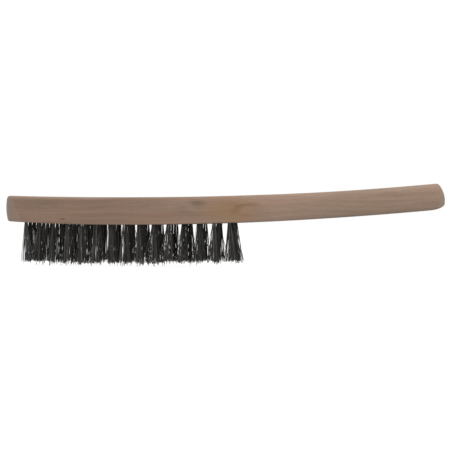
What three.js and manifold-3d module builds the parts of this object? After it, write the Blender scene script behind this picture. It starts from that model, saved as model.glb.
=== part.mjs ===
// A hand wire brush: one curved wooden block, head and handle in one piece, with four rows of fifteen
// wire tufts set in blind holes drilled into its sole. Each tuft is a bundle of straight steel wires
// folded in half, pushed fold first into its hole, so the wires leave the wood close together and
// spread towards their tips.
//
// Frame: millimetres, +X from the nose to the end of the handle, +Y across the brush, +Z up. The brush
// stands on the tips of its wires at z = 0, and the origin is under the middle of its bounding box.
import * as THREE from "three";
import { mergeVertices } from "three/addons/utils/BufferGeometryUtils.js";
import Module from "manifold-3d";

const wasm = await Module();
wasm.setup();

// Block, side view. Sole and back are each two long arcs that meet level at the lowest point.
const LENGTH = 290;
const SOLE = { lowX: -57, lowZ: 27.4, headRadius: 1420, handleRadius: 2170 };
const BACK = { lowX: -23.5, lowZ: 45.2, headRadius: 3340, handleRadius: 2065 };

// Block, plan view: a straight head, a waist on the handle, and a slight flare before its end.
const HEAD_HALF_WIDTH = 14;
const GRIP_HALF_WIDTH = 11.3;
const BUTT_HALF_WIDTH = 12.1;
const WAIST_START_X = 14;
const WAIST_END_X = 82;
const FLARE_START_X = 96;
const FLARE_END_X = 136;

// Rounding of the block's long edges, which is crisp on the head and soft in the hand.
const HEAD_BACK_EDGE = 2.2;
const HEAD_SOLE_EDGE = 1.2;
const GRIP_BACK_EDGE = 5.0;
const GRIP_SOLE_EDGE = 4.4;

// Rounding of the block's two ends: the reach is the distance from the end over which the outline
// grows, from the start share of its size to all of it, and the power makes the curve fuller.
const NOSE_PLAN = { reach: 11, start: 0.15, power: 2 };
const NOSE_BACK = { reach: 3.6, start: 0.45, power: 2 };
const NOSE_SOLE = { reach: 1.4, start: 0.45, power: 2 };
const NOSE_APEX_SHARE = 0.55;
const BUTT_PLAN = { reach: 8, start: 0.6, power: 2.4 };
const BUTT_BACK = { reach: 4.4, start: 0.1, power: 1.5 };
const BUTT_SOLE = { reach: 9, start: 0.36, power: 2.3 };
const BUTT_APEX_SHARE = 0.32;
const LARGEST_EDGE_SHARE = 0.45; // an edge's radius is at most this share of the section it rounds

// The nose is bowed in side view: how far it falls back at the back edge and at the sole edge.
const NOSE_BOW_AT_BACK = 1.1;
const NOSE_BOW_AT_SOLE = 1.7;

// Tufts: rows run along the brush and columns across it.
const ROWS = 4;
const COLUMNS = 15;
const ROW_PITCH = 5.56;
const COLUMN_PITCH = 10.18;
const FIRST_COLUMN_X = -128.2;
const HOLE_RADIUS = 1.35;
const HOLE_DEPTH = 10.5;
const HOLE_OVERCUT = 1.5; // how far the drill starts below the sole
const SHANK_RADIUS = 1.05;
const SHANK_END_GAP = 0.6;
const TIP_HALF_X = 4.5;
const TIP_HALF_Y = 2.6;
const JOINED_TIP_HALF_Y = 3.4;
const LEAN_X = 1.4; // how far the outermost tufts' tips lean outward
const LEAN_Y = 0.8;

// The wires are trimmed flat under the middle of the head and a little shorter towards its two ends.
const TRIM_FLAT_HALF = 40;
const TRIM_CURVATURE = 0.002;

// Fineness of the faceted surfaces.
const CORNER_STEPS = 4;
const SIDE_STEPS = 4;
const END_STATIONS = 8;
const LONG_STATION = 13;
const TUFT_SIDES = 10;
const HOLE_SIDES = 10;

const TUFT_FIELD_X = FIRST_COLUMN_X + ((COLUMNS - 1) * COLUMN_PITCH) / 2;
const TUFT_FIELD_HALF = ((COLUMNS - 1) * COLUMN_PITCH) / 2;
const OUTER_ROW_Y = ((ROWS - 1) * ROW_PITCH) / 2;

const beech = new THREE.MeshStandardMaterial({ name: "beech_wood", color: 0x8c7462, roughness: 0.72, metalness: 0 });
const steel = new THREE.MeshStandardMaterial({ name: "steel_wire", color: 0x3a3937, roughness: 0.45, metalness: 0.9 });

const brush = new THREE.Group();

// Outlines of the block ----------------------------------------------------------------------------

function outlineZ(x, { lowX, lowZ, headRadius, handleRadius }) {
  const radius = x < lowX ? headRadius : handleRadius;
  return lowZ + (x - lowX) ** 2 / (2 * radius);
}

const soleZ = (x) => outlineZ(x, SOLE);
const backZ = (x) => outlineZ(x, BACK);

function halfWidth(x) {
  const waist = THREE.MathUtils.smootherstep(x, WAIST_START_X, WAIST_END_X);
  const flare = THREE.MathUtils.smoothstep(x, FLARE_START_X, FLARE_END_X);
  const grip = THREE.MathUtils.lerp(HEAD_HALF_WIDTH, GRIP_HALF_WIDTH, waist);
  return grip + (BUTT_HALF_WIDTH - GRIP_HALF_WIDTH) * flare;
}

// The share of its full size that an outline has at a distance from the block's end.
function endShare(distance, { reach, start, power }) {
  if (distance >= reach) return 1;
  const fullness = (1 - (1 - distance / reach) ** power) ** (1 / power);
  return start + (1 - start) * fullness;
}

// Half width, sole, back and edge radii of the block at one station along its length.
function stationAt(x) {
  const fromNose = x + LENGTH / 2;
  const fromButt = LENGTH / 2 - x;
  const sole = soleZ(x);
  const back = backZ(x);
  const atNose = fromNose < fromButt;
  const apex = sole + (back - sole) * (atNose ? NOSE_APEX_SHARE : BUTT_APEX_SHARE);
  const backShare = atNose ? endShare(fromNose, NOSE_BACK) : endShare(fromButt, BUTT_BACK);
  const soleShare = atNose ? endShare(fromNose, NOSE_SOLE) : endShare(fromButt, BUTT_SOLE);
  const half = halfWidth(x) * (atNose ? endShare(fromNose, NOSE_PLAN) : endShare(fromButt, BUTT_PLAN));
  const low = apex - (apex - sole) * soleShare;
  const high = apex + (back - apex) * backShare;
  const softness = THREE.MathUtils.smoothstep(x, WAIST_START_X, WAIST_END_X);
  const largest = LARGEST_EDGE_SHARE * Math.min(half, high - low);
  const backEdge = Math.min(THREE.MathUtils.lerp(HEAD_BACK_EDGE, GRIP_BACK_EDGE, softness), largest);
  const soleEdge = Math.min(THREE.MathUtils.lerp(HEAD_SOLE_EDGE, GRIP_SOLE_EDGE, softness), largest);
  return { x, half, low, high, backEdge, soleEdge };
}

// How far a point of the nose falls back from the nose's foremost line.
function noseBow(x, z) {
  const nearness = Math.max(0, 1 - (x + LENGTH / 2) / NOSE_PLAN.reach);
  const foremost = THREE.MathUtils.lerp(soleZ(x), backZ(x), NOSE_APEX_SHARE);
  const above = (z - foremost) / (backZ(x) - foremost);
  const below = (foremost - z) / (foremost - soleZ(x));
  const depth = above > 0 ? NOSE_BOW_AT_BACK * above ** 2 : NOSE_BOW_AT_SOLE * below ** 2;
  return depth * nearness;
}

// A rounded rectangle across the block, counter-clockwise about +X, with points down its two sides.
function blockRing({ x, half, low, high, backEdge, soleEdge }) {
  const corner = (y, z, radius, turn) =>
    Array.from({ length: CORNER_STEPS + 1 }, (_, step) => {
      const angle = (turn + step / CORNER_STEPS) * (Math.PI / 2);
      return [y + radius * Math.cos(angle), z + radius * Math.sin(angle)];
    });
  const side = (y, fromZ, toZ) =>
    Array.from({ length: SIDE_STEPS - 1 }, (_, step) => [
      y,
      THREE.MathUtils.lerp(fromZ, toZ, (step + 1) / SIDE_STEPS),
    ]);
  const outline = [
    ...corner(half - backEdge, high - backEdge, backEdge, 0),
    ...corner(-half + backEdge, high - backEdge, backEdge, 1),
    ...side(-half, high - backEdge, low + soleEdge),
    ...corner(-half + soleEdge, low + soleEdge, soleEdge, 2),
    ...corner(half - soleEdge, low + soleEdge, soleEdge, 3),
    ...side(half, low + soleEdge, high - backEdge),
  ];
  return outline.map(([y, z]) => new THREE.Vector3(x + noseBow(x, z), y, z));
}

// Stations crowd together at the rounded ends and are evenly spaced between them.
function stationPositions() {
  const ease = (step) => 1 - Math.cos((step / END_STATIONS) * (Math.PI / 2));
  const steps = Array.from({ length: END_STATIONS + 1 }, (_, step) => step);
  const nose = steps.map((step) => -LENGTH / 2 + NOSE_PLAN.reach * ease(step));
  const butt = steps.map((step) => LENGTH / 2 - BUTT_SOLE.reach * ease(step)).reverse();
  const gap = butt[0] - nose.at(-1);
  const count = Math.round(gap / LONG_STATION);
  const middle = Array.from({ length: count - 1 }, (_, step) => nose.at(-1) + (gap * (step + 1)) / count);
  return [...nose, ...middle, ...butt];
}

// Solids -------------------------------------------------------------------------------------------

// A closed skin over rings of points that run counter-clockwise about the way from first to last.
function loft(rings) {
  const sides = rings[0].length;
  const middleOf = (ring) => ring.reduce((sum, p) => sum.add(p), new THREE.Vector3()).divideScalar(sides);
  const points = [...rings.flat(), middleOf(rings[0]), middleOf(rings.at(-1))];
  const startMiddle = points.length - 2;
  const endMiddle = points.length - 1;
  const lastRing = (rings.length - 1) * sides;
  const index = [];
  for (let side = 0; side < sides; side++) {
    const next = (side + 1) % sides;
    for (let ring = 0; ring < rings.length - 1; ring++) {
      const here = ring * sides;
      const beyond = here + sides;
      index.push(here + side, here + next, beyond + next);
      index.push(here + side, beyond + next, beyond + side);
    }
    index.push(startMiddle, next, side);
    index.push(endMiddle, lastRing + side, lastRing + next);
  }
  const geometry = new THREE.BufferGeometry().setFromPoints(points);
  geometry.setIndex(index);
  return geometry;
}

function toManifold(geometry) {
  const bare = geometry.clone();
  bare.deleteAttribute("normal");
  bare.deleteAttribute("uv");
  const merged = mergeVertices(bare, 1e-4);
  const mesh = new wasm.Mesh({
    numProp: 3,
    vertProperties: merged.attributes.position.array,
    triVerts: new Uint32Array(merged.index.array),
  });
  return new wasm.Manifold(mesh);
}

function toGeometry(manifold) {
  const mesh = manifold.getMesh();
  const geometry = new THREE.BufferGeometry();
  geometry.setAttribute("position", new THREE.BufferAttribute(mesh.vertProperties, 3));
  geometry.setIndex(new THREE.BufferAttribute(mesh.triVerts, 1));
  return geometry;
}

function addPiece(name, geometry, material) {
  const shaded = geometry.toNonIndexed();
  shaded.computeVertexNormals();
  const piece = new THREE.Mesh(shaded, material);
  piece.name = name;
  brush.add(piece);
}

// Tufts --------------------------------------------------------------------------------------------

const columnX = (column) => FIRST_COLUMN_X + column * COLUMN_PITCH;
const rowY = (row) => row * ROW_PITCH - OUTER_ROW_Y;

function trimZ(x) {
  const beyondFlat = Math.max(0, Math.abs(x - TUFT_FIELD_X) - TRIM_FLAT_HALF);
  return TRIM_CURVATURE * beyondFlat * beyondFlat;
}

function ellipseRing(x, y, z, halfX, halfY) {
  return Array.from({ length: TUFT_SIDES }, (_, side) => {
    const angle = (side / TUFT_SIDES) * 2 * Math.PI;
    return new THREE.Vector3(x + halfX * Math.cos(angle), y + halfY * Math.sin(angle), z);
  });
}

// The outer shape of one tuft: trimmed tips, the spread down from the wood, and the shank in its hole.
function tuftGeometry(row, column, tipHalfY = TIP_HALF_Y) {
  const x = columnX(column);
  const y = rowY(row);
  const tipX = x + (LEAN_X * (x - TUFT_FIELD_X)) / TUFT_FIELD_HALF;
  const tipY = y + (LEAN_Y * y) / OUTER_ROW_Y;
  const mouth = soleZ(x);
  return loft([
    ellipseRing(tipX, tipY, trimZ(x), TIP_HALF_X, tipHalfY),
    ellipseRing(x, y, mouth, SHANK_RADIUS, SHANK_RADIUS),
    ellipseRing(x, y, mouth + HOLE_DEPTH - SHANK_END_GAP, SHANK_RADIUS, SHANK_RADIUS),
  ]);
}

function holeCutter(row, column) {
  const length = HOLE_DEPTH + HOLE_OVERCUT;
  const hole = new THREE.CylinderGeometry(HOLE_RADIUS, HOLE_RADIUS, length, HOLE_SIDES);
  hole.rotateX(Math.PI / 2);
  hole.translate(columnX(column), rowY(row), soleZ(columnX(column)) + (HOLE_DEPTH - HOLE_OVERCUT) / 2);
  return toManifold(hole);
}

// Assembly -----------------------------------------------------------------------------------------

const places = [];
for (let row = 0; row < ROWS; row++) {
  for (let column = 0; column < COLUMNS; column++) places.push({ row, column });
}

function addBlock() {
  const rings = stationPositions().map((x) => blockRing(stationAt(x)));
  const holes = places.map(({ row, column }) => holeCutter(row, column));
  const drilled = holes.reduce((block, hole) => block.subtract(hole), toManifold(loft(rings)));
  addPiece("handle_block", toGeometry(drilled), beech);
}

const placeName = (row, column) => `r${row + 1}_c${String(column + 1).padStart(2, "0")}`;

// The two inner tufts of the last column touch at their tips and are one node, which keeps the
// assembly of one block and sixty tufts within sixty nodes.
function addTufts() {
  const innerRows = [ROWS / 2 - 1, ROWS / 2];
  const last = COLUMNS - 1;
  for (const { row, column } of places) {
    if (column === last && innerRows.includes(row)) continue;
    addPiece(`wire_tuft_${placeName(row, column)}`, tuftGeometry(row, column), steel);
  }
  const [first, second] = innerRows.map((row) => toManifold(tuftGeometry(row, last, JOINED_TIP_HALF_Y)));
  const names = innerRows.map((row) => `r${row + 1}`).join("_");
  addPiece(`wire_tuft_pair_${names}_c${last + 1}`, toGeometry(first.add(second)), steel);
}

addBlock();
addTufts();

export default brush;
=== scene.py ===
"""A hand wire brush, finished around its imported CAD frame: a drilled beech block with its grain, sixty
tufts of separate steel wires folded over their anchors, and a plain studio.

Frame: +X from the nose to the end of the handle, +Y across the brush, +Z up, in metres. The brush stands
on the tips of its longest wires at z = 0. Dimensions below are in millimetres and turned into metres by
MM."""

import math
import random

import bmesh
import bpy
import numpy as np
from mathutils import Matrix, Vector


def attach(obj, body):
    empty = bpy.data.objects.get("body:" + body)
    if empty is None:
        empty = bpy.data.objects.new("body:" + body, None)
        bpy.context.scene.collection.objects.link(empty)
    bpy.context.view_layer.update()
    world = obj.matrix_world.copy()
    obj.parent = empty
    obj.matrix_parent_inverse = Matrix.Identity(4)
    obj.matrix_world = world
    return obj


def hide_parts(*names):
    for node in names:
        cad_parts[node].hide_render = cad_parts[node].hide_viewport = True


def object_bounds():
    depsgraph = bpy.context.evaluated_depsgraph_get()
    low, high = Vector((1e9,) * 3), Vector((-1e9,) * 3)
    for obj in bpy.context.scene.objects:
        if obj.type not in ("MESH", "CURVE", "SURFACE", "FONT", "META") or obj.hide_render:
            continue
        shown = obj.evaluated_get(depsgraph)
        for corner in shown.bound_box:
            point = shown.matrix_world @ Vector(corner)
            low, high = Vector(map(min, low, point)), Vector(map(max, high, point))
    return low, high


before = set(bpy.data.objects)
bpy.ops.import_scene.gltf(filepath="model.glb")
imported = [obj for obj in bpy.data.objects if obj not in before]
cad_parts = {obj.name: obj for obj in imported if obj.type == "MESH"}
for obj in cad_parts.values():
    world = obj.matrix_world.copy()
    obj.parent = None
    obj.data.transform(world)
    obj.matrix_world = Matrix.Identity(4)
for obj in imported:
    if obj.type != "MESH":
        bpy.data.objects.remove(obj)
cad_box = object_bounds()

MM = 0.001

# Block, side view and plan view, as in the CAD source.
LENGTH = 290
SOLE = (-57, 27.4, 1420, 2170)  # lowest point's x and z, radius on the head side and the handle side
BACK = (-23.5, 45.2, 3340, 2065)
HEAD_HALF_WIDTH = 14
GRIP_HALF_WIDTH = 11.3
BUTT_HALF_WIDTH = 12.1
WAIST = (14, 82)
FLARE = (96, 136)
HEAD_EDGES = (2.2, 1.2)  # back edge, sole edge
GRIP_EDGES = (5.0, 4.4)
LARGEST_EDGE_SHARE = 0.45  # of the block's thickness or half width

# How an outline closes at an end: reach, share of its size at the very end, fullness.
NOSE_PLAN = (11, 0.15, 2)
NOSE_BACK = (3.6, 0.45, 2)
NOSE_SOLE = (1.4, 0.45, 2)
NOSE_APEX_SHARE = 0.55
NOSE_BOW = (1.1, 1.7)  # how far the nose falls back at the back edge and at the sole edge
BUTT_PLAN = (8, 0.6, 2.4)
BUTT_BACK = (4.4, 0.1, 1.5)
BUTT_SOLE = (9, 0.36, 2.3)
BUTT_APEX_SHARE = 0.32

# Tufts, as in the CAD source, and the wires that they are made of.
ROWS = 4
COLUMNS = 15
ROW_PITCH = 5.56
COLUMN_PITCH = 10.18
FIRST_COLUMN_X = -128.2
HOLE_RADIUS = 1.35
HOLE_DEPTH = 10.5
HOLE_CHAMFER = 0.2
DRILL_CONE = (0.15, 0.6)  # radius at its tip, height
DRILL_START = 0.9  # how far below the sole the cutter begins
WIRE_RADIUS = 0.158
WIRE_THICKNESS_RANGE = (0.92, 1.06)
WIRE_PACKING = 0.318  # distance between the centres of neighbouring wires
FOLDED_WIRES = 15
TUFT_RADIUS = 1.12
ANCHOR_THICKNESS = 0.3
ANCHOR_WIDTH = 1.5
ANCHOR_LENGTH = 3.1
ANCHOR_CHISEL = 0.92  # length of the anchor's leading edge, as a share of its length
ANCHOR_ROUNDING = 0.05
ANCHOR_TURN_SPREAD = 0.35  # in radians
FOLD_DEPTH = 8.45  # from the sole up to the anchor's edge, which the wires fold over

# How the wires stand. A SPREAD is a standard deviation, and a RANGE a lowest and a highest value.
MOUTH_SQUEEZE_X = 0.93  # the legs are pressed together where they leave the hole
MOUTH_SQUEEZE_Y = 0.97
LEG_STRAIGHT_ABOVE = 2.2  # how far up the hole they are in their own places again
LEG_WOBBLE_RANGE = (-0.02, 0.02)
LEG_POWER_RANGE = (1.0, 1.15)  # 1 is a straight leg
LEG_SWAY_SPREAD_X = 0.12
LEG_SWAY_SPREAD_Y = 0.1
LEG_WAVES_RANGE = (0.6, 1.7)
FAN_AT_NOSE = 3.2  # how far along the brush a tuft's tips spread to each side
FAN_AT_HANDLE = 4.7
FAN_RISE = (-90, 0)  # where along the brush it goes from the one to the other
FAN_SCALE_RANGE = (0.85, 1.05)
FAN_ACROSS = 2.4
END_FAN = {0: 1.4, COLUMNS - 1: 1.2}  # the end columns spread wider, with nothing beside them
INNER_LEAN = -0.6  # the tips lean towards the nose, after use
END_LEAN = {0: 0.5, COLUMNS - 1: 1.2}  # towards the handle
LEAN_SPREAD_X = 0.5
LEAN_SPREAD_Y = 0.15
STRAY_SHARE = 0.12  # this share of the wires has come out of its bundle, mostly towards the nose
STRAY_MEAN_X = -0.9
STRAY_SPREAD_X = 2.5
TIP_SPREAD_X = 0.35
TIP_SPREAD_Y = 0.4
FARTHEST_TIP_X = 7.5
FARTHEST_TIP_Y = 2.9
TRIM_Z = 2.6
TRIM_AT_NOSE = (0.5, 110, 134)  # added height, and the distances from x = 0 between which it grows
TRIM_AT_HANDLE = (2.2, -55, 25)  # added height, and the places between which it grows
TRIM_SPREAD = 0.6
CLUMP_SPREAD = 0.55  # between the two halves of a tuft, and between tufts
LONG_SHARE = 0.07
LONG_BY_RANGE = (1.0, 2.4)
LOWEST_TIP = 0.06

# Fineness of the meshes.
CORNER_STEPS = 8
SIDE_STEPS = 8
END_STATIONS = 20
LONG_STATION = 2.5
HOLE_SIDES = 24
WIRE_SIDES = 6
FREE_STEPS = 6
FOLD_STEPS = 6
BLOCK_SHARP_ANGLE = math.radians(50)
WIRE_SHARP_ANGLE = math.radians(62)

# Where the wood's colour changes along the block.
DARKER_HEAD = (-90, 45)  # darkest up to the first, as light as the handle after the second
HEAD_EDGE_HIGHLIGHT = (-45, -80)  # painted highlight: the head's back edge is lighter from the first, and fully so at the second
GREY_NOSE_SLOPE = 0.42  # the greyer nose ends on a line that slants by this much
GREY_NOSE_END = (-119.4, -114.8)  # measured along the block, where z is 0
NOSE_HIGHLIGHT_LINE = -117.6  # a painted highlight: the faint light line along that end
NOSE_HIGHLIGHT_WIDTH = 1.6

# Marks of this one block: centre, reach, softness, whether it is broken up, strength, colour.
MARKS = (
    ((-114, -14, 41), (20, 16, 5), 0.4, True, 0.35, (92, 86, 70)),  # grey, weathered, at the nose
    ((-4.5, -14, 39.6), (8.5, 12, 2.2), 0.1, False, 0.55, (78, 70, 57)),  # a grey streak near the back
    ((-10, -14, 36.5), (15, 12, 7), 0.1, True, 0.4, (92, 82, 68)),  # fainter grey round that streak
    ((15, -14, 35), (26, 14, 13), 0.1, False, 0.55, (138, 106, 72)),  # warm, where the handle begins
    ((22, -14, 36), (20, 14, 9), 0.2, True, 0.3, (118, 84, 50)),  # darker figure in it
    ((-98.5, -14, 31.2), (4.2, 6, 1.2), 0.1, False, 0.55, (86, 50, 32)),  # a small brown knot
)

FIRST_LEG_X = ANCHOR_THICKNESS / 2 + WIRE_RADIUS
CLOSED_GAP = FIRST_LEG_X * 0.75  # how much of the anchor's gap closes again on the way to the tips
OUTER_ROW_Y = (ROWS - 1) * ROW_PITCH / 2


# Outlines of the block ------------------------------------------------------------------------------

def lerp(a, b, share):
    return a + (b - a) * share


def smoothstep(x, low, high):
    t = min(1, max(0, (x - low) / (high - low)))
    return t * t * (3 - 2 * t)


def smootherstep(x, low, high):
    t = min(1, max(0, (x - low) / (high - low)))
    return t * t * t * (t * (6 * t - 15) + 10)


def outline_z(x, low_x, low_z, head_radius, handle_radius):
    radius = head_radius if x < low_x else handle_radius
    return low_z + (x - low_x) ** 2 / (2 * radius)


def sole_z(x):
    return outline_z(x, *SOLE)


def back_z(x):
    return outline_z(x, *BACK)


def half_width(x):
    grip = lerp(HEAD_HALF_WIDTH, GRIP_HALF_WIDTH, smootherstep(x, *WAIST))
    return grip + (BUTT_HALF_WIDTH - GRIP_HALF_WIDTH) * smoothstep(x, *FLARE)


def end_share(distance, reach, start, power):
    if distance >= reach:
        return 1
    fullness = (1 - (1 - distance / reach) ** power) ** (1 / power)
    return start + (1 - start) * fullness


def nose_bow(x, z):
    """How far a point of the nose falls back from the nose's foremost line."""
    nearness = max(0, 1 - (x + LENGTH / 2) / NOSE_PLAN[0])
    foremost = lerp(sole_z(x), back_z(x), NOSE_APEX_SHARE)
    if z > foremost:
        depth = NOSE_BOW[0] * ((z - foremost) / (back_z(x) - foremost)) ** 2
    else:
        depth = NOSE_BOW[1] * ((foremost - z) / (foremost - sole_z(x))) ** 2
    return depth * nearness


def block_ring(x):
    """Points of a rounded rectangle across the block at one station, counter-clockwise about +X."""
    from_nose = max(0, x + LENGTH / 2)
    from_butt = max(0, LENGTH / 2 - x)
    sole = sole_z(x)
    back = back_z(x)
    if from_nose < from_butt:
        apex = lerp(sole, back, NOSE_APEX_SHARE)
        back_share = end_share(from_nose, *NOSE_BACK)
        sole_share = end_share(from_nose, *NOSE_SOLE)
        half = half_width(x) * end_share(from_nose, *NOSE_PLAN)
    else:
        apex = lerp(sole, back, BUTT_APEX_SHARE)
        back_share = end_share(from_butt, *BUTT_BACK)
        sole_share = end_share(from_butt, *BUTT_SOLE)
        half = half_width(x) * end_share(from_butt, *BUTT_PLAN)
    low = lerp(apex, sole, sole_share)
    high = lerp(apex, back, back_share)
    softness = smoothstep(x, *WAIST)
    largest = LARGEST_EDGE_SHARE * min(half, high - low)
    back_edge, sole_edge = (min(lerp(h, g, softness), largest) for h, g in zip(HEAD_EDGES, GRIP_EDGES))
    upper = high - back_edge
    lower = low + sole_edge

    def corner(y, z, radius, turn):
        angles = [(turn + step / CORNER_STEPS) * math.pi / 2 for step in range(CORNER_STEPS + 1)]
        return [(y + radius * math.cos(angle), z + radius * math.sin(angle)) for angle in angles]

    def side(y, from_z, to_z):
        return [(y, lerp(from_z, to_z, step / SIDE_STEPS)) for step in range(1, SIDE_STEPS)]

    outline = corner(half - back_edge, upper, back_edge, 0)
    outline += corner(-half + back_edge, upper, back_edge, 1)
    outline += side(-half, upper, lower)
    outline += corner(-half + sole_edge, lower, sole_edge, 2)
    outline += corner(half - sole_edge, lower, sole_edge, 3)
    outline += side(half, lower, upper)
    return [(x + nose_bow(x, z), y, z) for y, z in outline]


def stations():
    """Places along the block, crowded together at its rounded ends."""
    ease = [1 - math.cos(step / END_STATIONS * math.pi / 2) for step in range(END_STATIONS + 1)]
    nose = [-LENGTH / 2 + NOSE_PLAN[0] * share for share in ease]
    butt = [LENGTH / 2 - BUTT_SOLE[0] * share for share in reversed(ease)]
    count = round((butt[0] - nose[-1]) / LONG_STATION)
    middle = [lerp(nose[-1], butt[0], step / count) for step in range(1, count)]
    return nose + middle + butt


# Meshes ---------------------------------------------------------------------------------------------

def new_object(name, mesh, material):
    piece = bpy.data.objects.new(name, mesh)
    bpy.context.scene.collection.objects.link(piece)
    mesh.materials.clear()
    mesh.materials.append(material)
    return piece


def ring_faces(ring_count, sides, first=0):
    """Quads between rings of points, and one face over each end."""
    faces = []
    for ring in range(ring_count - 1):
        here = first + ring * sides
        beyond = here + sides
        for side in range(sides):
            after = (side + 1) % sides
            faces.append((here + side, here + after, beyond + after, beyond + side))
    last = first + (ring_count - 1) * sides
    faces.append(tuple(first + side for side in reversed(range(sides))))
    faces.append(tuple(last + side for side in range(sides)))
    return faces


def mesh_of(name, points, faces):
    mesh = bpy.data.meshes.new(name)
    mesh.from_pydata([tuple(c * MM for c in p) for p in points], [], faces)
    mesh.validate()
    return mesh


def column_x(column):
    return FIRST_COLUMN_X + column * COLUMN_PITCH


def row_y(row):
    return row * ROW_PITCH - OUTER_ROW_Y


def places():
    return [(row, column) for row in range(ROWS) for column in range(COLUMNS)]


def hole_profile(x):
    """Radius and height up one drilled hole: a chamfer at the sole, straight walls, a drill's cone."""
    mouth = sole_z(x)
    tip_radius, cone_height = DRILL_CONE
    return [
        (HOLE_RADIUS + HOLE_CHAMFER + DRILL_START, mouth - DRILL_START),
        (HOLE_RADIUS, mouth + HOLE_CHAMFER),
        (HOLE_RADIUS, mouth + HOLE_DEPTH - cone_height),
        (tip_radius, mouth + HOLE_DEPTH),
    ]


def drill_mesh():
    points, faces = [], []
    for row, column in places():
        profile = hole_profile(column_x(column))
        faces += ring_faces(len(profile), HOLE_SIDES, len(points))
        for radius, z in profile:
            for side in range(HOLE_SIDES):
                angle = side / HOLE_SIDES * 2 * math.pi
                x = column_x(column) + radius * math.cos(angle)
                y = row_y(row) + radius * math.sin(angle)
                points.append((x, y, z))
    return mesh_of("drill", points, faces)


def make_block(material):
    places_along = stations()
    rings = [block_ring(x) for x in places_along]
    points = [point for ring in rings for point in ring]
    left = cad_box[0].x / MM
    top = cad_box[1].z / MM
    points = [(max(x, left), y, min(z, top)) for x, y, z in points]
    solid = mesh_of("beech_block", points, ring_faces(len(rings), len(rings[0])))
    block = new_object("beech_block", solid, material)
    drill = new_object("drill", drill_mesh(), material)
    cut = block.modifiers.new("holes", "BOOLEAN")
    cut.operation = "DIFFERENCE"
    cut.solver = "EXACT"
    cut.object = drill
    evaluated = block.evaluated_get(bpy.context.evaluated_depsgraph_get())
    drilled = bpy.data.meshes.new_from_object(evaluated)
    block.modifiers.clear()
    block.data = drilled
    bpy.data.objects.remove(drill)
    drilled.name = "beech_block"
    drilled.shade_smooth()
    drilled.set_sharp_from_angle(angle=BLOCK_SHARP_ANGLE)
    return block


# Wires ----------------------------------------------------------------------------------------------

def leg_places():
    """Where the folded wires' legs stand in the hole, on one side of the anchor: a close packing."""
    spots = []
    rows_across = range(-5, 6)
    for j in rows_across:
        y = j * WIRE_PACKING * math.sqrt(3) / 2
        for i in range(6):
            x = FIRST_LEG_X + (i + 0.5 * (j % 2)) * WIRE_PACKING
            if math.hypot(x, y) <= TUFT_RADIUS:
                spots.append((x, y))
    spots.sort(key=lambda spot: math.hypot(*spot))
    return spots[:FOLDED_WIRES]


def trim_z(x):
    """Mean height of the tips over the floor: level under part of the head, higher towards the ends."""
    nose_rise, nose_start, nose_end = TRIM_AT_NOSE
    handle_rise, handle_start, handle_end = TRIM_AT_HANDLE
    at_nose = nose_rise * smoothstep(-x, nose_start, nose_end)
    return TRIM_Z + at_nose + handle_rise * smoothstep(x, handle_start, handle_end)


def free_path(start, tip, mouth, tip_z, rng):
    """Points of one leg from the hole's mouth down to its tip, nearly straight, with a slight wave."""
    power = rng.uniform(*LEG_POWER_RANGE)
    sway_x = rng.gauss(0, LEG_SWAY_SPREAD_X)
    sway_y = rng.gauss(0, LEG_SWAY_SPREAD_Y)
    waves = rng.uniform(*LEG_WAVES_RANGE)
    points = []
    for step in range(1, FREE_STEPS + 1):
        t = step / FREE_STEPS
        bend = math.sin(math.pi * waves * t)
        x = lerp(start[0], tip[0], t ** power) + sway_x * bend
        y = lerp(start[1], tip[1], t ** power) + sway_y * bend
        points.append((x, y, lerp(mouth, tip_z, t)))
    return points


def tip_place(offset, centre, fan, lean, rng):
    """Where a leg's tip ends up: outward from its place in the bundle, with some strays."""
    if rng.random() < STRAY_SHARE:
        aside = rng.gauss(STRAY_MEAN_X, STRAY_SPREAD_X)
    else:
        aside = rng.gauss(0, TIP_SPREAD_X)
    x = offset[0] * fan + aside
    y = offset[1] * FAN_ACROSS + rng.gauss(0, TIP_SPREAD_Y)
    x = max(-FARTHEST_TIP_X, min(FARTHEST_TIP_X, x))
    y = max(-FARTHEST_TIP_Y, min(FARTHEST_TIP_Y, y))
    return centre[0] + x + lean[0], centre[1] + y + lean[1]


def wire_path(spot, centre, turn, fan, lean, trim, clump, rng):
    """A folded wire from one tip, up into the hole, over the anchor and down to its other tip."""
    mouth = sole_z(centre[0])
    fold_z = mouth + FOLD_DEPTH
    cos, sin = math.cos(turn), math.sin(turn)

    def across(x, y):
        return centre[0] + x * cos - y * sin, centre[1] + x * sin + y * cos

    legs = []
    for side in (1, -1):
        local_x = side * spot[0] + rng.uniform(*LEG_WOBBLE_RANGE)
        local_y = spot[1] + rng.uniform(*LEG_WOBBLE_RANGE)
        start = across(local_x * MOUTH_SQUEEZE_X, local_y * MOUTH_SQUEEZE_Y)
        closed_x = side * (spot[0] - CLOSED_GAP)
        outward = across(closed_x / (TUFT_RADIUS - CLOSED_GAP), spot[1] / TUFT_RADIUS)
        tip = tip_place((outward[0] - centre[0], outward[1] - centre[1]), centre, fan, lean, rng)
        longer = rng.uniform(*LONG_BY_RANGE) if rng.random() < LONG_SHARE else 0
        tip_z = max(LOWEST_TIP, trim + clump[side] + rng.gauss(0, TRIM_SPREAD) - longer)
        free = free_path(start, tip, mouth, tip_z, rng)
        in_hole = [(*start, mouth), (*across(local_x, local_y), mouth + LEG_STRAIGHT_ABOVE)]
        legs.append(list(reversed(free)) + in_hole)
    fold = []
    for step in range(FOLD_STEPS + 1):
        angle = math.pi * step / FOLD_STEPS
        x, y = across(spot[0] * math.cos(angle), spot[1])
        fold.append((x, y, fold_z + spot[0] * math.sin(angle)))
    return legs[0] + fold + list(reversed(legs[1]))


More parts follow.
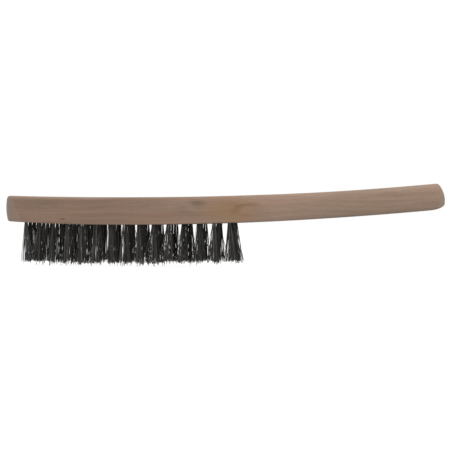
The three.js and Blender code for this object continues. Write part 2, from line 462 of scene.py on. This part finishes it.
def tube(path, radius):
    """Rings of points round a path, carried along it without twist."""
    path = np.array(path, float)
    ahead = np.gradient(path, axis=0)
    ahead /= np.linalg.norm(ahead, axis=1)[:, None]
    out = np.cross(ahead[0], (0.0, 1.0, 0.0))
    out /= np.linalg.norm(out)
    rings = []
    for point, tangent in zip(path, ahead):
        out = out - tangent * (out @ tangent)
        out /= np.linalg.norm(out)
        other = np.cross(tangent, out)
        for side in range(WIRE_SIDES):
            angle = side / WIRE_SIDES * 2 * math.pi
            rings.append(point + radius * (math.cos(angle) * out + math.sin(angle) * other))
    return rings


def make_tuft(row, column, spots, material):
    rng = random.Random(7919 * row + 104729 * column + 11)
    centre = (column_x(column), row_y(row))
    turn = rng.gauss(0, ANCHOR_TURN_SPREAD)
    fan = lerp(FAN_AT_NOSE, FAN_AT_HANDLE, smoothstep(centre[0], *FAN_RISE))
    fan *= rng.uniform(*FAN_SCALE_RANGE)
    fan *= END_FAN.get(column, 1.0)
    lean_x = rng.gauss(END_LEAN.get(column, INNER_LEAN), LEAN_SPREAD_X)
    lean_y = rng.gauss(0, LEAN_SPREAD_Y)
    trim = trim_z(centre[0])
    clump = {side: rng.gauss(0, CLUMP_SPREAD) for side in (1, -1)}
    points, faces, tones = [], [], []
    for spot in spots:
        path = wire_path(spot, centre, turn, fan, (lean_x, lean_y), trim, clump, rng)
        faces += ring_faces(len(path), WIRE_SIDES, len(points))
        ring_points = tube(path, WIRE_RADIUS * rng.uniform(*WIRE_THICKNESS_RANGE))
        points += ring_points
        tones += [rng.random()] * len(ring_points)
    name = f"wires_r{row + 1}_c{column + 1:02d}"
    mesh = mesh_of(name, points, faces)
    tone = mesh.attributes.new("wire_tone", "FLOAT", "POINT")
    tone.data.foreach_set("value", tones)
    mesh.shade_smooth()
    mesh.set_sharp_from_angle(angle=WIRE_SHARP_ANGLE)
    return new_object(name, mesh, material), turn


def make_anchor(row, column, turn, material):
    """The flat wire across the bottom of a hole, inside the fold, its ends driven into the wood."""
    shape = bmesh.new()
    corners = bmesh.ops.create_cube(shape, size=1)["verts"]
    size = Vector((ANCHOR_THICKNESS, ANCHOR_LENGTH, ANCHOR_WIDTH)) * MM
    bmesh.ops.scale(shape, vec=size, verts=corners)
    chisel = [v for v in corners if v.co.z > 0]
    bmesh.ops.scale(shape, vec=(1, ANCHOR_CHISEL, 1), verts=chisel)
    rounding = ANCHOR_ROUNDING * MM
    bmesh.ops.bevel(shape, geom=shape.edges[:], offset=rounding, segments=2, affect="EDGES")
    name = f"wire_anchor_r{row + 1}_c{column + 1:02d}"
    mesh = bpy.data.meshes.new(name)
    shape.to_mesh(mesh)
    shape.free()
    x = column_x(column)
    anchor = new_object(name, mesh, material)
    height = sole_z(x) + FOLD_DEPTH - ANCHOR_WIDTH / 2
    anchor.location = (x * MM, row_y(row) * MM, height * MM)
    anchor.rotation_euler = (0, 0, turn)
    return anchor


# Materials ------------------------------------------------------------------------------------------

class Shader:
    """A material's node tree, with one short call for each node."""

    def __init__(self, name):
        self.material = bpy.data.materials.new(name)
        self.material.use_nodes = True
        self.tree = self.material.node_tree
        self.surface = self.tree.nodes["Principled BSDF"]

    def add(self, kind, settings=None, **inputs):
        made = self.tree.nodes.new("ShaderNode" + kind)
        for key, value in (settings or {}).items():
            setattr(made, key, value)
        for key, value in inputs.items():
            self.plug(made.inputs[key.replace("_", " ")], value)
        return made

    def plug(self, socket, value):
        if isinstance(value, bpy.types.NodeSocket):
            self.tree.links.new(value, socket)
        else:
            socket.default_value = value

    def math(self, operation, a, b=0.0):
        made = self.add("Math", {"operation": operation})
        self.plug(made.inputs[0], a)
        self.plug(made.inputs[1], b)
        return made.outputs[0]

    def scaled(self, vector, scale, offset=(0, 0, 0)):
        made = self.add("Mapping", Vector=vector, Scale=scale, Location=offset)
        return made.outputs[0]

    def noise(self, vector, detail=3.0, roughness=0.5):
        made = self.add("TexNoise", Vector=vector, Scale=1.0, Detail=detail, Roughness=roughness)
        return made.outputs[0]

    def remap(self, value, low, high, to_low=0.0, to_high=1.0):
        made = self.add("MapRange", {"clamp": True, "interpolation_type": "SMOOTHSTEP"})
        for index, number in enumerate((value, low, high, to_low, to_high)):
            self.plug(made.inputs[index], number)
        return made.outputs[0]

    def mix(self, factor, a, b, blend="MIX"):
        made = self.add("Mix", {"data_type": "RGBA", "blend_type": blend})
        for index, value in ((0, factor), (6, a), (7, b)):
            self.plug(made.inputs[index], value)
        return made.outputs[2]

    def cover(self, base, field, share, shade):
        """A colour with another one over it, as strongly as a field says, up to a share."""
        return self.mix(self.math("MULTIPLY", field, share), base, shade)

    def sole_height(self, x):
        """The sole's height over the floor at a place along the block, both in metres."""
        away = self.math("SUBTRACT", x, SOLE[0] * MM)
        square = self.math("MULTIPLY", away, away)
        over_head = self.math("MULTIPLY", square, 1 / (2 * SOLE[2] * MM))
        over_handle = self.math("MULTIPLY", square, 1 / (2 * SOLE[3] * MM))
        handle_side = self.math("GREATER_THAN", away, 0.0)
        rise = self.add("Mix", {"data_type": "FLOAT"})
        self.plug(rise.inputs[0], handle_side)
        self.plug(rise.inputs[2], over_head)
        self.plug(rise.inputs[3], over_handle)
        return self.math("ADD", rise.outputs[0], SOLE[1] * MM)

    def away(self, place, centre, reach):
        """Distance from a centre, 1 where its reach along each axis ends, both in millimetres."""
        scale = tuple(1 / (r * MM) for r in reach)
        offset = tuple(-c / r for c, r in zip(centre, reach))
        length = self.add("VectorMath", {"operation": "LENGTH"}, Vector=self.scaled(place, scale, offset))
        return length.outputs[1]

    def spot(self, place, centre, reach, soft):
        return self.remap(self.away(place, centre, reach), soft, 1.0, 1.0, 0.0)

    def ring(self, place, centre, reach, thickness):
        off = self.math("ABSOLUTE", self.math("SUBTRACT", self.away(place, centre, reach), 1.0))
        return self.remap(off, 0.0, thickness, 1.0, 0.0)


def colour(red, green, blue):
    """A linear colour from an sRGB one of 0 to 255."""
    def linear(c):
        c /= 255
        return c / 12.92 if c <= 0.04045 else ((c + 0.055) / 1.055) ** 2.4

    return (linear(red), linear(green), linear(blue), 1.0)


def wood_material():
    s = Shader("beech_wood")
    place = s.add("TexCoord").outputs["Object"]

    # Slow wander of the grain, so that its lines aren't straight.
    wander = s.noise(s.scaled(place, (9, 28, 28)), 2.0)
    wander = s.math("MULTIPLY", s.math("SUBTRACT", wander, 0.5), 9 * MM)
    parts = s.add("SeparateXYZ", Vector=place)
    lifted = s.math("ADD", parts.outputs[2], wander)
    warped = s.add("CombineXYZ", X=parts.outputs[0], Y=parts.outputs[1], Z=lifted).outputs[0]

    # Growth rings round a pith below and behind the block.
    pith = s.scaled(warped, (0.06, 1, 1), (0, -46 * MM, 12 * MM))
    ring_radius = s.add("VectorMath", {"operation": "LENGTH"}, Vector=pith).outputs[1]
    ring_jitter = s.noise(s.scaled(warped, (5, 90, 90)), 2.0)
    ring_phase = s.math("ADD", s.math("MULTIPLY", ring_radius, 1 / (3.1 * MM)), ring_jitter)
    ring_share = s.math("FRACT", ring_phase)
    late_wood = s.math("POWER", ring_share, 3.0)

    # Fibres, fine pores and short rays, all drawn out along the block.
    fibres = s.noise(s.scaled(warped, (26, 820, 820)), 4.0, 0.6)
    pores = s.noise(s.scaled(warped, (170, 4200, 4200)), 2.0, 0.5)
    rays = s.noise(s.scaled(warped, (420, 2600, 2600)), 1.0, 0.4)
    clouds = s.noise(s.scaled(warped, (16, 75, 75)), 3.0)
    streaks = s.noise(s.scaled(warped, (7, 260, 260)), 3.0)

    base = s.mix(s.remap(clouds, 0.32, 0.68), colour(134, 113, 97), colour(144, 118, 102))
    base = s.cover(base, late_wood, 0.2, colour(112, 84, 68))
    base = s.mix(s.remap(fibres, 0.35, 0.75, 0.0, 0.3), base, colour(160, 138, 121))
    base = s.mix(s.remap(streaks, 0.55, 0.8, 0.0, 0.4), base, colour(122, 90, 72))
    base = s.mix(s.remap(pores, 0.6, 0.72, 0.0, 0.3), base, colour(90, 68, 55))
    base = s.mix(s.remap(rays, 0.63, 0.72, 0.0, 0.25), base, colour(100, 76, 62))

    # The head is darker than the handle; the handle is painted a little darker towards its sole, as
    # painted shade from the light above.
    along = parts.outputs[0]
    on_handle = s.remap(along, DARKER_HEAD[0] * MM, DARKER_HEAD[1] * MM)
    head_tone = s.mix(on_handle, (0.75, 0.71, 0.675, 1), (1.03, 1.03, 1.01, 1))
    base = s.mix(1.0, base, head_tone, "MULTIPLY")
    # Painted shade: darker towards the sole, mostly on the handle, for the light falling from above.
    above_sole = s.math("SUBTRACT", parts.outputs[2], s.sole_height(along))
    sole_shade_share = s.remap(above_sole, 16 * MM, 1 * MM, 0.0, 0.16)
    sole_shade_share = s.math("MULTIPLY", sole_shade_share, s.remap(along, -70 * MM, 25 * MM, 0.15, 1.0))
    base = s.mix(sole_shade_share, base, colour(20, 16, 13))

    mottle = s.remap(s.noise(s.scaled(warped, (70, 420, 420)), 3.0), 0.35, 0.62)
    for centre, reach, soft, broken, strength, shade in MARKS:
        mark = s.spot(warped, centre, reach, soft)
        if broken:
            mark = s.math("MULTIPLY", mark, mottle)
        base = s.cover(base, mark, strength, colour(*shade))

    # A swirled arch in the grain, inside the warm mark.
    swirl = s.add("TexNoise", Vector=s.scaled(place, (110, 110, 160)), Scale=1.0, Detail=2.0)
    swirl = s.add("VectorMath", {"operation": "SCALE"}, Vector=swirl.outputs[1], Scale=7 * MM)
    swirled = s.add("VectorMath", {"operation": "ADD"}, Vector=place)
    s.plug(swirled.inputs[1], swirl.outputs[0])
    arch = s.ring(swirled.outputs[0], (32.5, -10.5, 36.5), (12, 15, 6.5), 0.3)
    arch = s.math("MULTIPLY", arch, s.spot(place, (24, -14, 39), (15, 14, 8.5), 0.2))
    base = s.cover(base, arch, 0.45, colour(108, 74, 44))

    # Painted highlight on the back edge of the head, where it turns up to the light.
    normal = s.add("SeparateXYZ", Vector=s.add("NewGeometry").outputs["Normal"])
    turned_up = s.remap(normal.outputs[2], 0.05, 0.55)
    on_head = s.remap(along, HEAD_EDGE_HIGHLIGHT[0] * MM, HEAD_EDGE_HIGHLIGHT[1] * MM, 0.0, 0.3)
    base = s.mix(s.math("MULTIPLY", turned_up, on_head), base, colour(165, 142, 126))

    # End grain on the nose and the end of the handle: greyer, with open pores.
    end_grain = s.remap(s.math("ABSOLUTE", normal.outputs[0]), 0.3, 0.75)
    specks = s.noise(s.scaled(place, (2600, 2600, 2600)), 2.0)
    ends = s.mix(s.remap(specks, 0.45, 0.7), colour(132, 116, 102), colour(118, 102, 88))
    base = s.cover(base, end_grain, 0.7, ends)

    # The nose is greyer up to a slanting line, and along that line is a faint painted highlight.
    slant = s.math("ADD", along, s.math("MULTIPLY", parts.outputs[2], GREY_NOSE_SLOPE))
    slant = s.math("ADD", slant, s.math("MULTIPLY", wander, 0.4))
    grey_nose = s.remap(slant, GREY_NOSE_END[0] * MM, GREY_NOSE_END[1] * MM, 0.5, 0.0)
    base = s.mix(grey_nose, base, colour(126, 112, 100))
    from_line = s.math("ABSOLUTE", s.math("SUBTRACT", slant, NOSE_HIGHLIGHT_LINE * MM))
    line = s.remap(from_line, 0, NOSE_HIGHLIGHT_WIDTH * MM, 0.14, 0.0)
    base = s.mix(line, base, colour(150, 128, 112))

    # Painted shade: faces turned down are darker, away from the light above.
    underside_shade = s.remap(normal.outputs[2], -1.0, -0.65, 0.4, 0.0)
    base = s.mix(underside_shade, base, colour(40, 32, 26))

    # The sole round the tufts is darker, in blotches.
    dark_sole_field = s.spot(place, (-55, 0, 26.5), (86, 15.5, 3.4), 0.82)
    dark_sole_share = s.math("MULTIPLY", dark_sole_field, s.remap(clouds, 0.3, 0.6, 0.35, 0.8))
    base = s.mix(dark_sole_share, base, colour(74, 62, 53))

    s.plug(s.surface.inputs["Base Color"], base)
    s.plug(s.surface.inputs["Roughness"], s.remap(fibres, 0.3, 0.8, 0.74, 0.55))
    s.surface.inputs["Specular IOR Level"].default_value = 0.35
    height = s.math("ADD", s.math("MULTIPLY", fibres, 0.7), s.math("MULTIPLY", pores, -0.5))
    bump = s.add("Bump", Strength=0.35, Distance=0.12 * MM, Height=height)
    s.plug(s.surface.inputs["Normal"], bump.outputs[0])
    return s.material


def steel_material(name, dark, light, metallic):
    """Drawn steel wire: a dark scale that varies from wire to wire, with brown and bright patches."""
    s = Shader(name)
    place = s.add("TexCoord").outputs["Object"]
    tone = s.add("Attribute", {"attribute_name": "wire_tone"}).outputs["Fac"]
    patches = s.noise(s.scaled(place, (420, 420, 120)), 3.0)
    share = s.math("ADD", s.math("MULTIPLY", tone, 0.75), s.math("MULTIPLY", patches, 0.35))
    base = s.mix(s.remap(share, 0.15, 0.95), dark, light)
    rust = s.remap(s.noise(s.scaled(place, (300, 300, 300)), 3.0), 0.6, 0.75, 0.0, 0.3)
    base = s.mix(rust, base, colour(74, 58, 48))
    s.plug(s.surface.inputs["Base Color"], base)
    s.surface.inputs["Metallic"].default_value = metallic
    s.surface.inputs["Specular Tint"].default_value = (0.25, 0.25, 0.25, 1)
    scratches = s.noise(s.scaled(place, (5000, 5000, 400)), 2.0)
    s.plug(s.surface.inputs["Roughness"], s.remap(scratches, 0.3, 0.7, 0.34, 0.56))
    bump = s.add("Bump", Strength=0.2, Distance=0.02 * MM, Height=scratches)
    s.plug(s.surface.inputs["Normal"], bump.outputs[0])
    return s.material


def floor_material():
    s = Shader("pale_floor")
    place = s.add("TexCoord").outputs["Object"]
    paper = s.noise(s.scaled(place, (60, 60, 60)), 2.0)
    base = s.mix(s.remap(paper, 0.3, 0.7), colour(86, 86, 86), colour(92, 92, 92))
    s.plug(s.surface.inputs["Base Color"], base)
    s.surface.inputs["Roughness"].default_value = 0.9
    s.surface.inputs["Emission Color"].default_value = (1, 1, 1, 1)
    s.surface.inputs["Emission Strength"].default_value = FLOOR_GLOW
    return s.material


# Studio ---------------------------------------------------------------------------------------------

FLOOR_GLOW = 0.9  # a light table: the floor glows a little, so that the brush's shadow on it is faint

CAMERA_AZIMUTH = math.radians(15.45)
CAMERA_DISTANCE = 0.4751
CAMERA_HEIGHT = 0.0266
CAMERA_PAN = math.radians(-1.16)
CAMERA_LENS = 58.36


def add_light(name, size, power, location, target):
    data = bpy.data.lights.new(name, "AREA")
    data.shape = "RECTANGLE"
    data.size, data.size_y = size
    data.energy = power
    light = bpy.data.objects.new(name, data)
    light.location = location
    light.rotation_euler = (Vector(target) - Vector(location)).to_track_quat("-Z", "Y").to_euler()
    bpy.context.scene.collection.objects.link(light)


def make_studio():
    floor_mesh = bpy.data.meshes.new("floor")
    reach = 6.0
    corners = [(-reach, -reach, 0), (reach, -reach, 0), (reach, reach, 0), (-reach, reach, 0)]
    floor_mesh.from_pydata(corners, [], [(0, 1, 2, 3)])
    new_object("floor", floor_mesh, floor_material())

    world = bpy.data.worlds.new("studio")
    world.use_nodes = True
    world.node_tree.nodes["Background"].inputs["Color"].default_value = (1, 1, 1, 1)
    world.node_tree.nodes["Background"].inputs["Strength"].default_value = 1.0
    scene = bpy.context.scene
    scene.world = world
    scene.view_settings.view_transform = "Standard"

    middle = (0, 0, 0.035)
    add_light("top_softbox", (1.6, 1.2), 6, (0.1, 0.1, 1.1), middle)
    add_light("front_softbox", (0.5, 0.4), 1.2, (0.6, -0.6, 0.45), middle)

    data = bpy.data.cameras.new("camera")
    data.lens = CAMERA_LENS
    data.clip_start = 0.01
    camera = bpy.data.objects.new("camera", data)
    across = math.sin(CAMERA_AZIMUTH) * CAMERA_DISTANCE
    back = math.cos(CAMERA_AZIMUTH) * CAMERA_DISTANCE
    camera.location = (across, -back, CAMERA_HEIGHT)
    camera.rotation_euler = (math.pi / 2, 0, CAMERA_AZIMUTH + CAMERA_PAN)
    scene.collection.objects.link(camera)
    scene.camera = camera


# Assembly -------------------------------------------------------------------------------------------

def cad_tuft(row, column):
    """The CAD node that holds a tuft: the two inner tufts of the last column share one."""
    if column == COLUMNS - 1 and row in (1, 2):
        return "wire_tuft_pair_r2_r3_c15"
    return f"wire_tuft_r{row + 1}_c{column + 1:02d}"


def dress_brush():
    block = make_block(wood_material())
    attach(block, "root")
    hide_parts("handle_block")

    wire = steel_material("steel_wire", colour(43, 43, 42), colour(97, 95, 92), 0.8)
    flat_wire = steel_material("anchor_wire", colour(96, 94, 90), colour(150, 148, 144), 1.0)
    spots = leg_places()
    for row, column in places():
        tuft, turn = make_tuft(row, column, spots, wire)
        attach(tuft, "root")
        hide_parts(cad_tuft(row, column))
        anchor = make_anchor(row, column, turn, flat_wire)
        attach(anchor, "root")


make_studio()
dress_brush()
